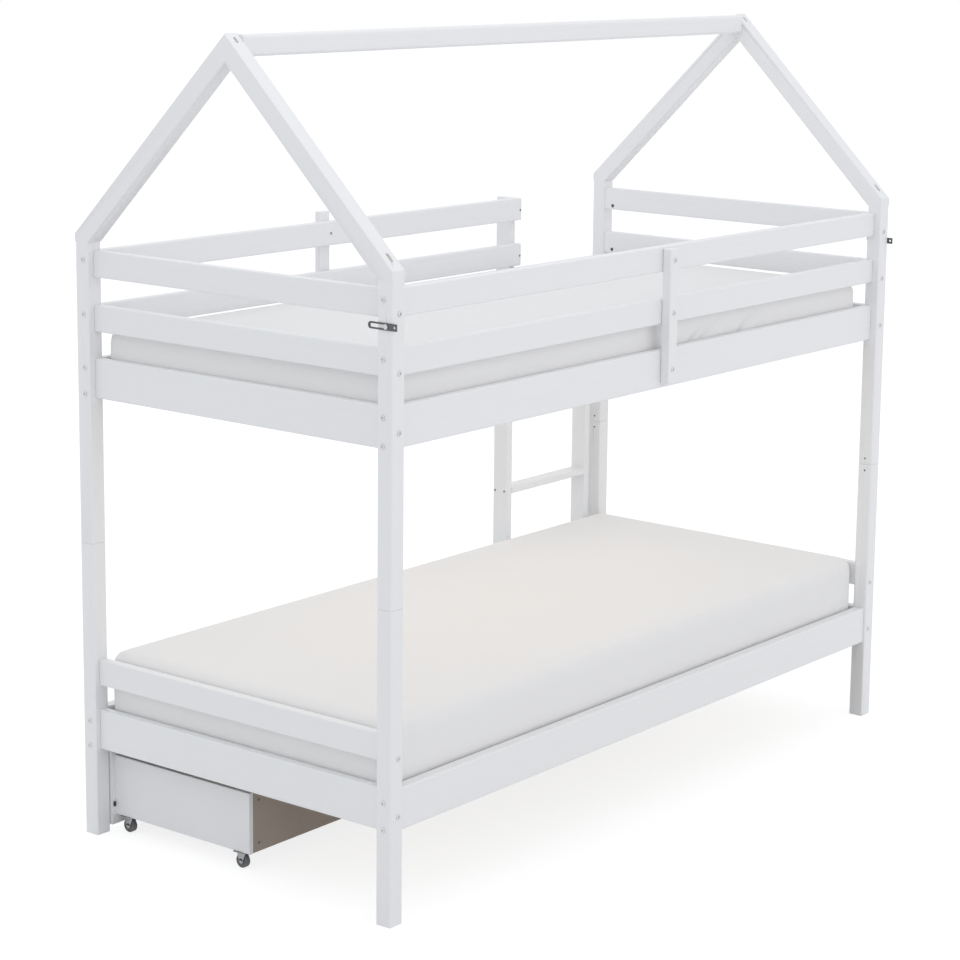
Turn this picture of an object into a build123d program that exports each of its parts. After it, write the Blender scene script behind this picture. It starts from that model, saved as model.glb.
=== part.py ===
from build123d import *
import os

os.makedirs("parts", exist_ok=True)

# All sizes in millimetres. X runs along the bed, +Y is the ladder and drawer side, +Z is up.

# Frame posts
bed_length = 2080.0
bed_width = 980.0
post_size = 42.0
post_round = 4.0
post_joint_height = 727.0
post_top = 1451.0
pin_hole_radius = 2.6
pin_hole_depth = 12.0
pin_hole_offset = 17.0

# Gable and ridge
gable_rise = 503.0
rafter_depth = 65.0
rafter_heel = 21.0
rafter_round = 3.0
ridge_width = 38.0
ridge_height = 49.0
ridge_drop = 4.0
ridge_round = 8.0
rafter_hole_radius = 4.0
rafter_hole_inset = 27.0
rafter_hole_depth = 9.0
apex_hole_drop = 15.0

# Rails
rail_round = 3.5
rail_end_chamfer = 1.2
guard_rail_height = 63.0
guard_rail_drop = 20.0
guard_rail_gap = 66.0
deck_gap = 64.0
deep_rail_height = 95.0
upper_rail_thickness = 22.0
end_rail_thickness = 22.0
end_rail_setback = 18.0
lower_rail_base = 216.0
lower_rail_height = 99.0
lower_rail_thickness = 30.0
lower_rail_setback = 6.0
lower_end_thickness = 24.0
lower_end_setback = 14.0
head_rail_height = 64.0
head_rail_gap = 61.0

# Stiles
front_stile_width = 34.0
front_stile_thickness = 26.0
front_stile_shift = 5.0
front_stile_top_drop = 5.0
front_stile_foot = 13.0
rear_stile_width = 39.0
rear_stile_thickness = 17.5
rear_stile_centre = -197.5
rear_stile_rise = 24.0

# Ladder
ladder_clear_width = 350.0
ladder_stile_width = 24.0
ladder_stile_depth = 50.0
ladder_from_post = 22.0
ladder_stile_round = 3.0
rung_thickness = 18.0
rung_first = 290.0
rung_pitch = 290.0
rung_count = 4

# Slats and mattresses
ledger_height = 20.0
ledger_width = 20.0
upper_ledger_lift = 4.0
lower_ledger_lift = 36.0
slat_thickness = 16.0
slat_width = 70.0
slat_count = 13
slat_end_play = 3.0
slat_first = 60.0
upper_mattress_side_gap = 8.0
lower_mattress_side_gap = 10.0
mattress_left_gap = 20.0
upper_mattress_right_gap = 52.0
lower_mattress_right_gap = 10.0
upper_mattress_height = 128.0
lower_mattress_height = 160.0
mattress_corner = 45.0
mattress_crown = 5.0
mattress_pull = 9.0

# Bolted joints
bolt_radius = 3.0
bolt_play = 0.4
bolt_head_radius = 6.5
bolt_head_height = 3.0
bolt_past_nut = 3.0
nut_radius = 5.0
nut_distance = 29.0
nut_past_bolt = 4.0
side_bolt_rise = 10.5
end_bolt_drop = 20.0
deep_bolt_high = 26.5
deep_bolt_low = 36.5
deep_end_bolt_drop = 7.5
lower_bolt_high = 21.5
lower_bolt_low = 40.5
lower_end_bolt_drop = 11.5
bolt_from_rail_face = 5.5
bolt_from_lower_rail_face = 15.0
bolt_from_lower_end_face = 12.0
dowel_radius = 5.0
dowel_length = 60.0
ridge_dowel_radius = 4.0
ridge_dowel_length = 36.0
ridge_dowel_spacing = 18.0
dowel_play = 0.2

# Wall straps
strap_thickness = 2.5
strap_height = 16.0
strap_inner = 25.0
strap_reach = 14.0
strap_centre = 1353.0
strap_slot_length = 34.0
strap_slot_height = 5.0
strap_slot_inner = 9.0
strap_bolt_inset = 16.0
strap_hole_radius = 2.5

# Drawers
drawer_count = 2
drawer_front_width = 776.0
drawer_front_thickness = 18.0
drawer_front_height = 190.0
drawer_front_lift = 16.0
drawer_gap = 4.0
drawer_post_gap = 2.0
drawer_front_setback = 24.0
drawer_box_inset = 11.0
drawer_box_length = 450.0
drawer_board = 12.0
drawer_box_height = 150.0
drawer_bottom_thickness = 10.0
drawer_round = 2.0

# Castors
castor_height = 42.0
wheel_radius = 17.0
wheel_width = 9.0
wheel_gap = 10.0
wheel_bevel = 2.0
hub_radius = 6.0
hub_play = 0.06
web_width = 9.0
castor_plate = 38.0
castor_plate_thickness = 3.0
castor_edge_x = 15.0
castor_edge_y = 35.0

# Places that follow from the sizes above
half_length = bed_length / 2
half_width = bed_width / 2
post_x = half_length - post_size / 2
post_y = half_width - post_size / 2
inner_x = half_length - post_size
inner_y = half_width - post_size
gable_top = post_top + gable_rise
ridge_top = gable_top - ridge_drop
top_rail_z = post_top - guard_rail_drop - guard_rail_height
second_rail_z = top_rail_z - guard_rail_gap - guard_rail_height
deep_rail_z = second_rail_z - deck_gap - deep_rail_height
deep_rail_top = deep_rail_z + deep_rail_height
upper_face_y = inner_y + upper_rail_thickness
end_face_x = half_length - end_rail_setback
lower_face_y = half_width - lower_rail_setback
lower_inner_y = lower_face_y - lower_rail_thickness
lower_end_face_x = half_length - lower_end_setback
head_rail_z = lower_rail_base + lower_rail_height + head_rail_gap
upper_ledger_z = deep_rail_z + upper_ledger_lift
lower_ledger_z = lower_rail_base + lower_ledger_lift
upper_slat_z = upper_ledger_z + ledger_height
lower_slat_z = lower_ledger_z + ledger_height
upper_bed_z = upper_slat_z + slat_thickness
lower_bed_z = lower_slat_z + slat_thickness
ladder_face_y = upper_face_y + ladder_stile_depth
ladder_right = inner_x - ladder_from_post
ladder_left = ladder_right - 2 * ladder_stile_width - ladder_clear_width
opening_x = ladder_left + ladder_stile_width
strap_outer_y = half_width + strap_reach
centre_shift = (strap_outer_y - ladder_face_y) / 2
bolt_reach = post_size + nut_distance + nut_radius + bolt_past_nut
bolt_hole = bolt_radius + bolt_play


def block(x0, x1, y0, y1, z0, z1):
    """A plain box between two corners."""
    box = Box(x1 - x0, y1 - y0, z1 - z0)
    return Pos((x0 + x1) / 2, (y0 + y1) / 2, (z0 + z1) / 2) * box


def board(x0, x1, y0, y1, z0, z1, axis, radius, ends=0.0):
    """A board with its long edges rounded, and its ends chamfered where asked."""
    solid = block(x0, x1, y0, y1, z0, z1)
    solid = fillet(solid.edges().filter_by(axis), radius)
    if ends > 0:
        faces = solid.faces().sort_by(axis)
        loops = faces[0].edges() + faces[-1].edges()
        solid = chamfer(loops, ends)
    return solid


def rod_x(radius, x0, x1, y, z):
    rod = Rot(0, 90, 0) * Cylinder(radius, abs(x1 - x0))
    return Pos((x0 + x1) / 2, y, z) * rod


def rod_y(radius, x, y0, y1, z):
    rod = Rot(90, 0, 0) * Cylinder(radius, abs(y1 - y0))
    return Pos(x, (y0 + y1) / 2, z) * rod


def rod_z(radius, x, y, z0, z1):
    return Pos(x, y, (z0 + z1) / 2) * Cylinder(radius, abs(z1 - z0))


def save(solid, name):
    """Puts the bed's bounding box centre over the origin and writes one node."""
    moved = Pos(0, centre_shift, 0) * solid
    export_step(moved, "parts/" + name + ".step")


def save_group(solids, name):
    moved = [Pos(0, centre_shift, 0) * solid for solid in solids]
    export_step(Compound(children=moved), "parts/" + name + ".step")


# Heights of the bolts at each rail, along the bed and across it
top_mid = top_rail_z + guard_rail_height / 2
second_mid = second_rail_z + guard_rail_height / 2
deep_mid = deep_rail_z + deep_rail_height / 2
lower_mid = lower_rail_base + lower_rail_height / 2
head_mid = head_rail_z + head_rail_height / 2
guard_levels = [(top_rail_z, top_mid), (second_rail_z, second_mid)]
deep_bolts = [deep_mid + deep_bolt_high, deep_mid - deep_bolt_low]
lower_bolts = [lower_mid + lower_bolt_high, lower_mid - lower_bolt_low]
upper_bolt_y = upper_face_y - bolt_from_rail_face
lower_bolt_y = lower_face_y - bolt_from_lower_rail_face
end_bolt_x = end_face_x - bolt_from_rail_face
lower_end_bolt_x = lower_end_face_x - bolt_from_lower_end_face


class Joint:
    """One bolt through a post into the end of a rail, with its barrel nut."""

    def __init__(self, along, sx, sy, offset, z, inner):
        self.along = along
        self.sx = sx
        self.sy = sy
        self.offset = offset
        self.z = z
        self.inner = inner
        self.outside = half_length if along == "x" else half_width
        self.post_face = inner_x if along == "x" else inner_y
        self.nut_at = self.post_face - nut_distance
        self.tip = self.outside - bolt_reach

    def rod(self, radius, near, far):
        """A rod on the bolt's axis between two distances from the bed's centre."""
        if self.along == "x":
            return rod_x(radius, self.sx * near, self.sx * far, self.sy * self.offset, self.z)
        return rod_y(radius, self.sx * self.offset, self.sy * near, self.sy * far, self.z)

    def nut_rod(self, radius, near, far):
        """A rod on the barrel nut's axis between two distances from the bed's centre."""
        if self.along == "x":
            return rod_y(radius, self.sx * self.nut_at, self.sy * near, self.sy * far, self.z)
        return rod_x(radius, self.sx * near, self.sx * far, self.sy * self.nut_at, self.z)

    def bolt(self):
        head = self.rod(bolt_head_radius, self.outside, self.outside + bolt_head_height)
        rim = head.edges().filter_by(GeomType.CIRCLE)
        axis = Axis.X if self.along == "x" else Axis.Y
        side = self.sx if self.along == "x" else self.sy
        outer = rim.sort_by(axis)[-1 if side > 0 else 0]
        head = chamfer(outer, bolt_head_height * 0.5)
        return head + self.rod(bolt_radius, self.tip, self.outside)

    def nut(self):
        barrel = self.nut_rod(nut_radius, self.inner + 0.5, self.offset + nut_past_bolt - 0.5)
        bore = self.rod(bolt_radius + 0.1, self.nut_at - 10, self.nut_at + 10)
        return barrel - bore

    def post_hole(self):
        return self.rod(bolt_hole, self.post_face - 1, self.outside + 1)

    def rail_holes(self):
        long_hole = self.rod(bolt_hole, self.tip - 2, self.post_face + 5)
        nut_hole = self.nut_rod(nut_radius + 0.2, self.inner - 1, self.offset + nut_past_bolt)
        return [long_hole, nut_hole]


def side_joints(sx, sy, upper):
    """Bolts that run along the bed into one end of the rails of one long side."""
    joints = []
    if upper:
        levels = [(deep_bolts[0], True), (deep_bolts[1], True)]
        if not (sx > 0 and sy > 0):
            levels.append((top_mid + side_bolt_rise, False))
            levels.append((second_mid + side_bolt_rise, False))
        for z, _ in levels:
            joints.append(Joint("x", sx, sy, upper_bolt_y, z, inner_y))
    else:
        for z in lower_bolts:
            joints.append(Joint("x", sx, sy, lower_bolt_y, z, lower_inner_y))
    return joints


def end_joints(sx, sy, upper):
    """Bolts that run across the bed into one end of the rails of one short side."""
    joints = []
    if upper:
        inner = end_face_x - end_rail_thickness
        for z in (top_mid - end_bolt_drop, second_mid - end_bolt_drop, deep_mid - deep_end_bolt_drop):
            joints.append(Joint("y", sx, sy, end_bolt_x, z, inner))
    else:
        inner = lower_end_face_x - lower_end_thickness
        for z in (head_mid - end_bolt_drop, lower_mid - lower_end_bolt_drop):
            joints.append(Joint("y", sx, sy, lower_end_bolt_x, z, inner))
    return joints


def post(sx, sy, upper):
    z0 = post_joint_height if upper else 0.0
    z1 = post_top if upper else post_joint_height
    x0, x1 = sorted((sx * inner_x, sx * half_length))
    y0, y1 = sorted((sy * inner_y, sy * half_width))
    solid = board(x0, x1, y0, y1, z0, z1, Axis.Z, post_round)
    cuts = [j.post_hole() for j in side_joints(sx, sy, upper) + end_joints(sx, sy, upper)]
    half = dowel_length / 2 + 1
    cuts.append(rod_z(dowel_radius + dowel_play, sx * post_x, sy * post_y,
                      post_joint_height - half, post_joint_height + half))
    pin_z = post_joint_height + (pin_hole_offset if upper else -pin_hole_offset)
    cuts.append(rod_x(pin_hole_radius, sx * (inner_x - 1), sx * (inner_x + pin_hole_depth),
                      sy * post_y, pin_z))
    if upper and sy < 0:
        cuts.append(strap_bolt_rod(sx, bolt_hole, 20.0))
    return solid - cuts


def rafter(sx, sy):
    """One sloping member of a gable, with its foot on the post and its top at the mitre."""
    rise = gable_top - post_top - rafter_heel
    slope = rise / half_width
    foot_in = (post_top - (gable_top - rafter_depth)) / -slope
    points = [
        (sy * half_width, post_top),
        (sy * half_width, post_top + rafter_heel),
        (0.0, gable_top),
        (0.0, gable_top - rafter_depth),
        (sy * foot_in, post_top),
    ]
    face = make_face(Polyline(*points, close=True))
    plane = Plane(origin=(sx * inner_x, 0, 0), x_dir=(0, 1, 0), z_dir=(1, 0, 0))
    solid = extrude(plane * face, sx * post_size)
    long_edges = [e for e in solid.edges()
                  if abs(abs(e.tangent_at(0.5).Y) - 1 / (1 + slope ** 2) ** 0.5) < 0.01]
    solid = fillet(long_edges, rafter_round)
    hole_y = half_width - rafter_hole_inset
    hole_z = gable_top - slope * hole_y
    cuts = [
        rod_z(rafter_hole_radius, sx * post_x, sy * hole_y, hole_z - rafter_hole_depth, hole_z + 20),
    ]
    apex_y = apex_hole_drop / slope
    apex_z = gable_top - apex_hole_drop
    cuts.append(rod_y(rafter_hole_radius, sx * post_x, sy * (apex_y - rafter_hole_depth),
                      sy * (apex_y + 20), apex_z))
    cuts.append(ridge_dowel(sx, sy, ridge_dowel_radius + dowel_play, 1.0))
    return solid - cuts


def ridge_dowel(sx, sy, radius, extra):
    z = ridge_top - ridge_height / 2
    half = ridge_dowel_length / 2 + extra
    return rod_x(radius, sx * (inner_x - half), sx * (inner_x + half), sy * ridge_dowel_spacing / 2, z)


def ridge_beam():
    z1 = ridge_top
    half = ridge_width / 2
    solid = board(-inner_x, inner_x, -half, half, z1 - ridge_height, z1, Axis.X, ridge_round)
    cuts = [ridge_dowel(sx, sy, ridge_dowel_radius + dowel_play, 1.0)
            for sx in (-1, 1) for sy in (-1, 1)]
    return solid - cuts


def side_rail(sy, x0, x1, z, height, joints):
    y0, y1 = sorted((sy * inner_y, sy * upper_face_y))
    solid = board(x0, x1, y0, y1, z, z + height, Axis.X, rail_round, rail_end_chamfer)
    cuts = [c for j in joints for c in j.rail_holes()]
    return solid - cuts


def at_height(joints, z, height):
    return [j for j in joints if z < j.z < z + height]


def upper_side_rails(sy):
    """The two guard rails of one long side, and the deep rail that carries the slats."""
    joints = side_joints(-1, sy, True) + side_joints(1, sy, True)
    end = inner_x if sy < 0 else opening_x
    guards = [side_rail(sy, -inner_x, end, z, guard_rail_height, at_height(joints, z, guard_rail_height))
              for z, _ in guard_levels]
    deep = side_rail(sy, -inner_x, inner_x, deep_rail_z, deep_rail_height,
                     at_height(joints, deep_rail_z, deep_rail_height))
    return guards, deep


def end_rail(sx, face_x, thickness, z, height, joints):
    x0, x1 = sorted((sx * (face_x - thickness), sx * face_x))
    solid = board(x0, x1, -inner_y, inner_y, z, z + height, Axis.Y, rail_round, rail_end_chamfer)
    cuts = [c for j in at_height(joints, z, height) for c in j.rail_holes()]
    return solid - cuts


def upper_end_rails(sx):
    joints = end_joints(sx, -1, True) + end_joints(sx, 1, True)
    guards = [end_rail(sx, end_face_x, end_rail_thickness, z, guard_rail_height, joints)
              for z, _ in guard_levels]
    deep = end_rail(sx, end_face_x, end_rail_thickness, deep_rail_z, deep_rail_height, joints)
    return guards, deep


def lower_side_rail(sy):
    y0, y1 = sorted((sy * lower_inner_y, sy * lower_face_y))
    solid = board(-inner_x, inner_x, y0, y1, lower_rail_base, lower_rail_base + lower_rail_height,
                  Axis.X, rail_round, rail_end_chamfer)
    joints = side_joints(-1, sy, False) + side_joints(1, sy, False)
    return solid - [c for j in joints for c in j.rail_holes()]


def lower_end_rails(sx):
    joints = end_joints(sx, -1, False) + end_joints(sx, 1, False)
    deep = end_rail(sx, lower_end_face_x, lower_end_thickness, lower_rail_base, lower_rail_height, joints)
    head = end_rail(sx, lower_end_face_x, lower_end_thickness, head_rail_z, head_rail_height, joints)
    return head, deep


def front_stile():
    x0 = front_stile_shift - front_stile_width / 2
    z0 = deep_rail_z + front_stile_foot
    z1 = top_rail_z + guard_rail_height - front_stile_top_drop
    y0 = -upper_face_y - front_stile_thickness
    return board(x0, x0 + front_stile_width, y0, -upper_face_y, z0, z1, Axis.Z, rail_round, rail_end_chamfer)


def rear_stile():
    x0 = rear_stile_centre - rear_stile_width / 2
    z0 = deep_rail_z + front_stile_foot
    z1 = top_rail_z + guard_rail_height + rear_stile_rise
    y1 = upper_face_y + rear_stile_thickness
    return board(x0, x0 + rear_stile_width, upper_face_y, y1, z0, z1, Axis.Z, rail_round, rail_end_chamfer)


def ladder_notch():
    """The room that the ladder leaves around the lower side rail behind it."""
    play = 0.3
    return block(ladder_left - 5, ladder_right + 5, upper_face_y - 5, lower_face_y + play,
                 lower_rail_base - play, lower_rail_base + lower_rail_height + play)


def ladder_stile(x0, z1):
    solid = board(x0, x0 + ladder_stile_width, upper_face_y, ladder_face_y, 0.0, z1,
                  Axis.Z, ladder_stile_round, rail_end_chamfer)
    return solid - ladder_notch()


def ladder_rungs():
    rungs = []
    for i in range(rung_count):
        z = rung_first + i * rung_pitch
        rung = board(ladder_left + ladder_stile_width, ladder_right - ladder_stile_width,
                     upper_face_y, ladder_face_y, z - rung_thickness / 2, z + rung_thickness / 2,
                     Axis.X, ladder_stile_round)
        rungs.append(rung - ladder_notch())
    return rungs


def slat_ledgers():
    ledgers = []
    for sy in (-1, 1):
        for face, z in ((inner_y, upper_ledger_z), (lower_inner_y, lower_ledger_z)):
            y0, y1 = sorted((sy * (face - ledger_width), sy * face))
            ledgers.append(block(-inner_x + 70, inner_x - 70, y0, y1, z, z + ledger_height))
    return ledgers


def slats(face, z):
    first = -inner_x + slat_first + slat_width / 2
    pitch = -2 * first / (slat_count - 1)
    half = face - slat_end_play
    made = []
    for i in range(slat_count):
        x = first + i * pitch
        made.append(block(x - slat_width / 2, x + slat_width / 2, -half, half, z, z + slat_thickness))
    return made


def mattress_outline(length, width, inset, corner, z):
    sketch = RectangleRounded(length - 2 * inset, width - 2 * inset, max(corner - inset * 0.5, 8.0))
    return Pos(0, 0, z) * sketch


def mattress(end_x, face_y, side_gap, right_gap, height, base):
    """A soft mattress in a fitted sheet, drawn in below and crowned on top."""
    length = 2 * end_x - mattress_left_gap - right_gap
    width = 2 * (face_y - side_gap)
    shift = (mattress_left_gap - right_gap) / 2
    side = height - mattress_crown
    levels = [
        (0.0, mattress_pull * 2.6),
        (side * 0.05, mattress_pull * 1.3),
        (side * 0.2, mattress_pull * 0.4),
        (side * 0.5, 0.0),
        (side * 0.76, mattress_pull * 0.25),
        (side * 0.9, mattress_pull * 1.0),
        (side * 0.97, mattress_pull * 2.2),
        (side, mattress_pull * 4.5),
        (side + mattress_crown * 0.6, mattress_pull * 12),
        (side + mattress_crown, mattress_pull * 26),
    ]
    sections = [mattress_outline(length, width, inset, mattress_corner, z) for z, inset in levels]
    solid = loft(sections, ruled=True)
    return Pos(shift, 0, base) * solid


def strap_bolt_rod(sx, radius, depth):
    y = -(half_width - strap_bolt_inset)
    return rod_x(radius, sx * (half_length - depth), sx * (half_length + 1), y, strap_centre)


def strap(sx):
    """A flat steel strap on the post's outer face, for fixing the bed to a wall."""
    y0 = -strap_outer_y
    y1 = -inner_y + strap_inner
    z0 = strap_centre - strap_height / 2
    x0, x1 = sorted((sx * half_length, sx * (half_length + strap_thickness)))
    plate = block(x0, x1, y0, y1, z0, z0 + strap_height)
    tip = [e for e in plate.edges().filter_by(Axis.X) if e.center().Y > y1 - 1]
    plate = fillet(tip, strap_height * 0.49)
    slot_end = y1 - strap_slot_inner - strap_slot_height / 2
    slot_start = slot_end - strap_slot_length + strap_slot_height
    slot = block(x0 - 1, x1 + 1, slot_start, slot_end,
                 strap_centre - strap_slot_height / 2, strap_centre + strap_slot_height / 2)
    cuts = [slot]
    for y in (slot_start, slot_end):
        cuts.append(rod_x(strap_slot_height / 2, x0 - 1, x1 + 1, y, strap_centre))
    hole_y = y0 + strap_reach / 2
    cuts.append(rod_x(strap_hole_radius, x0 - 1, x1 + 1, hole_y, strap_centre))
    cuts.append(rod_x(bolt_hole, x0 - 1, x1 + 1, -(half_width - strap_bolt_inset), strap_centre))
    return plate - cuts


def strap_bolt(sx):
    face = half_length + strap_thickness
    y = -(half_width - strap_bolt_inset)
    head = rod_x(bolt_head_radius * 0.9, sx * face, sx * (face + 2.0), y, strap_centre)
    shank = rod_x(bolt_radius, sx * (half_length - 18), sx * face, y, strap_centre)
    return head + shank


def drawer_left(index):
    first = -inner_x + drawer_post_gap
    return first + index * (drawer_front_width + drawer_gap)


drawer_face_y = lower_face_y - drawer_front_setback
drawer_back_y = drawer_face_y - drawer_front_thickness - drawer_box_length


def drawer_front(x0):
    y0 = drawer_face_y - drawer_front_thickness
    return board(x0, x0 + drawer_front_width, y0, drawer_face_y, drawer_front_lift,
                 drawer_front_lift + drawer_front_height, Axis.X, drawer_round)


def drawer_box_sides(x0):
    y1 = drawer_face_y - drawer_front_thickness
    z1 = castor_height + drawer_box_height
    left = x0 + drawer_box_inset
    right = x0 + drawer_front_width - drawer_box_inset
    made = []
    for a, b in ((left, left + drawer_board), (right - drawer_board, right)):
        made.append(board(a, b, drawer_back_y, y1, castor_height, z1, Axis.Y, drawer_round))
    return made


def drawer_back(x0):
    left = x0 + drawer_box_inset + drawer_board
    right = x0 + drawer_front_width - drawer_box_inset - drawer_board
    return board(left, right, drawer_back_y, drawer_back_y + drawer_board, castor_height,
                 castor_height + drawer_box_height, Axis.X, drawer_round)


def drawer_bottom(x0):
    left = x0 + drawer_box_inset + drawer_board
    right = x0 + drawer_front_width - drawer_box_inset - drawer_board
    y1 = drawer_face_y - drawer_front_thickness
    return block(left, right, drawer_back_y + drawer_board, y1, castor_height,
                 castor_height + drawer_bottom_thickness)


def castor_places(x0):
    left = x0 + drawer_box_inset + castor_edge_x
    right = x0 + drawer_front_width - drawer_box_inset - castor_edge_x
    front = drawer_face_y - drawer_front_thickness - castor_edge_y
    back = drawer_back_y + castor_edge_y
    names = ("front_left", "front_right", "back_left", "back_right")
    spots = ((left, front), (right, front), (left, back), (right, back))
    return list(zip(names, spots))


def castor_bracket(x, y):
    """A fixed castor's plate, with one web between the wheel's two discs."""
    half = castor_plate / 2
    plate_z = castor_height - castor_plate_thickness
    plate = block(x - half, x + half, y - half, y + half, plate_z, castor_height)
    web_half = web_width / 2
    web = block(x - web_half, x + web_half, y - hub_radius - 4, y + hub_radius + 4,
                wheel_radius, plate_z)
    ring = rod_x(hub_radius + 4, x - web_half, x + web_half, y, wheel_radius)
    bore = rod_x(hub_radius + hub_play, x - web_half - 1, x + web_half + 1, y, wheel_radius)
    return plate + web + ring - bore


def castor_wheel(x, y):
    """Two rounded discs on one hub, which turn together."""
    inner = wheel_gap / 2
    discs = []
    for side in (-1, 1):
        disc = rod_x(wheel_radius, x + side * inner, x + side * (inner + wheel_width), y, wheel_radius)
        rim = disc.edges().filter_by(GeomType.CIRCLE)
        outer = rim.sort_by(Axis.X)[-1 if side > 0 else 0]
        discs.append(chamfer(outer, wheel_bevel))
    hub = rod_x(hub_radius, x - inner, x + inner, y, wheel_radius)
    return discs[0] + hub + discs[1]


corners = [("front_left", -1, -1), ("front_right", 1, -1), ("rear_left", -1, 1), ("rear_right", 1, 1)]
all_joints = []
for corner, sx, sy in corners:
    save(post(sx, sy, False), "lower_post_" + corner)
    save(post(sx, sy, True), "upper_post_" + corner)
    save(rafter(sx, sy), "rafter_" + corner)
    for upper in (False, True):
        all_joints += side_joints(sx, sy, upper) + end_joints(sx, sy, upper)

save(ridge_beam(), "ridge_beam")

for side, sy in (("front", -1), ("rear", 1)):
    guards, deep = upper_side_rails(sy)
    save_group(guards, side + "_guard_rails")
    save(deep, side + "_upper_side_rail")
    save(lower_side_rail(sy), side + "_lower_side_rail")

for end, sx in (("left", -1), ("right", 1)):
    guards, deep = upper_end_rails(sx)
    save_group(guards, end + "_end_guard_rails")
    save(deep, end + "_end_upper_rail")
    head, deep = lower_end_rails(sx)
    save(head, end + "_end_head_rail")
    save(deep, end + "_end_lower_rail")

save(front_stile(), "front_guard_stile")
save(rear_stile(), "rear_guard_stile")
save(ladder_stile(ladder_left, top_rail_z + guard_rail_height), "ladder_stile_left")
save(ladder_stile(ladder_right - ladder_stile_width, deep_rail_top), "ladder_stile_right")
save_group(ladder_rungs(), "ladder_rungs")
save_group(slat_ledgers(), "slat_ledgers")
save_group(slats(inner_y, upper_slat_z), "upper_slats")
save_group(slats(lower_inner_y, lower_slat_z), "lower_slats")
save(mattress(end_face_x - end_rail_thickness, inner_y, upper_mattress_side_gap,
              upper_mattress_right_gap, upper_mattress_height, upper_bed_z), "upper_mattress")
save(mattress(lower_end_face_x - lower_end_thickness, lower_inner_y, lower_mattress_side_gap,
              lower_mattress_right_gap, lower_mattress_height, lower_bed_z), "lower_mattress")

save_group([j.bolt() for j in all_joints], "frame_bolts")
save_group([j.nut() for j in all_joints], "barrel_nuts")
dowels = [rod_z(dowel_radius, sx * post_x, sy * post_y, post_joint_height - dowel_length / 2,
                post_joint_height + dowel_length / 2) for _, sx, sy in corners]
dowels += [ridge_dowel(sx, sy, ridge_dowel_radius, 0.0) for _, sx, sy in corners]
save_group(dowels, "joint_dowels")
save_group([strap(-1), strap(1)], "wall_straps")
save_group([strap_bolt(-1), strap_bolt(1)], "strap_bolts")

for index in range(drawer_count):
    x0 = drawer_left(index)
    name = "drawer" + str(index + 1)
    save(drawer_front(x0), name + "_front")
    save_group(drawer_box_sides(x0), name + "_sides")
    save(drawer_back(x0), name + "_back")
    save(drawer_bottom(x0), name + "_bottom")
    save_group([castor_bracket(x, y) for _, (x, y) in castor_places(x0)], name + "_castors")
    for place, (x, y) in castor_places(x0):
        save(castor_wheel(x, y), name + "_wheel_" + place)
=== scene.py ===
import math

import bpy
from mathutils import Matrix, Vector


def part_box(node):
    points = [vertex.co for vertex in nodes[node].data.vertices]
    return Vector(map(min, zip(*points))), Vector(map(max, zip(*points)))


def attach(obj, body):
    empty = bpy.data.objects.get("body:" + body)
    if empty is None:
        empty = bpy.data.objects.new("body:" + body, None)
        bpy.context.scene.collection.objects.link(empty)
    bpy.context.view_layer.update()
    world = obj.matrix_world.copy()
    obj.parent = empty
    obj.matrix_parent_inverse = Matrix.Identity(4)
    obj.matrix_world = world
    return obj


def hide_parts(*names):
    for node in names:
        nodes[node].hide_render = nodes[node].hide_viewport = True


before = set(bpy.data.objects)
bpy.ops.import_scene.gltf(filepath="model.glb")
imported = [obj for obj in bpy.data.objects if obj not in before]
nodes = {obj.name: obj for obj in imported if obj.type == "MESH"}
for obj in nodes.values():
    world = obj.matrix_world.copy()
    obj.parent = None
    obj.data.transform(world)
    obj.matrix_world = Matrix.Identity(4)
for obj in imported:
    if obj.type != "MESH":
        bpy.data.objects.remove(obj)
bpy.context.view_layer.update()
bpy.ops.object.select_all(action="DESELECT")
shift = -0.008  # the bed's own centre line, seen from the middle of its box


# Small helpers for modelling

def activate(obj):
    bpy.ops.object.select_all(action="DESELECT")
    obj.select_set(True)
    bpy.context.view_layer.objects.active = obj


def applyAll(obj):
    activate(obj)
    bpy.ops.object.transform_apply(location=True, rotation=True, scale=True)


def addModifier(obj, kind, **values):
    activate(obj)
    mod = obj.modifiers.new(kind.lower(), kind)
    for key, value in values.items():
        setattr(mod, key, value)
    bpy.ops.object.modifier_apply(modifier=mod.name)


# picks the faces or edges that pass a test, and leaves the piece in edit mode
def pickFaces(obj, test):
    activate(obj)
    bpy.ops.object.mode_set(mode="EDIT")
    bpy.ops.mesh.select_mode(type="FACE")
    bpy.ops.mesh.select_all(action="DESELECT")
    bpy.ops.object.mode_set(mode="OBJECT")
    for poly in obj.data.polygons:
        poly.select = test(poly.center, poly.normal)
    bpy.ops.object.mode_set(mode="EDIT")


def pickEdges(obj, test):
    activate(obj)
    bpy.ops.object.mode_set(mode="EDIT")
    bpy.ops.mesh.select_mode(type="EDGE")
    bpy.ops.mesh.select_all(action="DESELECT")
    bpy.ops.object.mode_set(mode="OBJECT")
    points = obj.data.vertices
    for edge in obj.data.edges:
        a, b = (points[i].co for i in edge.vertices)
        edge.select = test(a, b)
    bpy.ops.object.mode_set(mode="EDIT")


def done():
    bpy.ops.object.mode_set(mode="OBJECT")


def bevelEdges(obj, test, offset, segments):
    pickEdges(obj, test)
    bpy.ops.mesh.bevel(offset=offset, segments=segments, affect="EDGES")
    done()


def addBlock(name, low, high):
    low, high = Vector(low), Vector(high)
    bpy.ops.mesh.primitive_cube_add(size=1, location=(low + high) / 2)
    obj = bpy.context.object
    obj.name = name
    obj.scale = high - low
    applyAll(obj)
    return obj


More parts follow.
